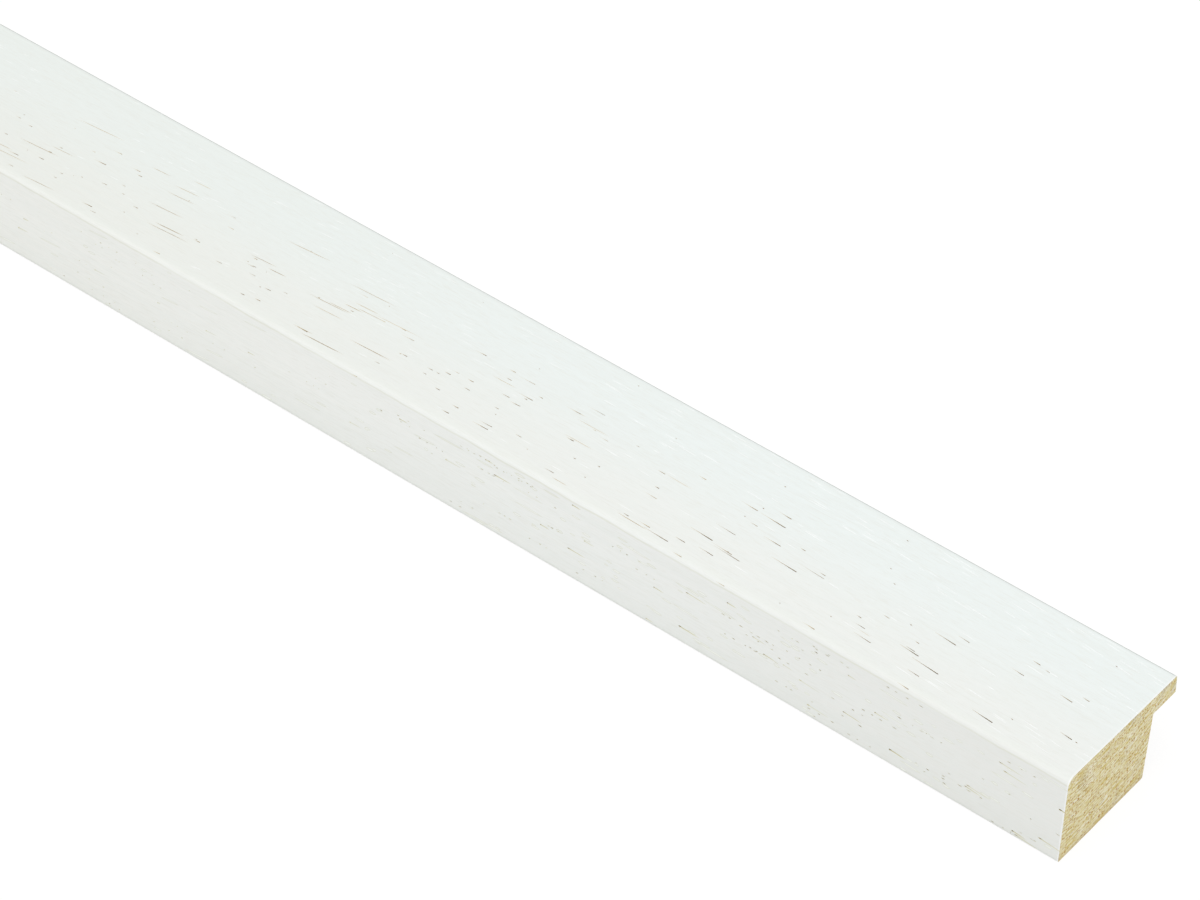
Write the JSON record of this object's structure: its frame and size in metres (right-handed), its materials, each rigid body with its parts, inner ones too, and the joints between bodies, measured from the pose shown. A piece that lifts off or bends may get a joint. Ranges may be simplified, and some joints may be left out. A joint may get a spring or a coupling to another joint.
{
  "type": "picture frame moulding",
  "caption": "Straight stick of flat wooden picture frame moulding with a white open-pore finish, a rounded outer edge and a rabbet at the back for glass, picture and backing.",
  "frame": {"origin": "on the plane of the back, under the middle of the stick's length and whole width", "axes": "+X along the stick, +Y from the outer side towards the sight edge, +Z from the back towards the face"},
  "size_m": [1, 0.0304, 0.0186],
  "materials": {
    "white_open_pore_wood": "thin matt white lacquer with the wood's pores left open on face, sight edge and outer side; bare wood on back, rabbet and ends"
  },
  "bodies": {
    "root": {"moulding": "white_open_pore_wood"}
  },
  "joints": []
}
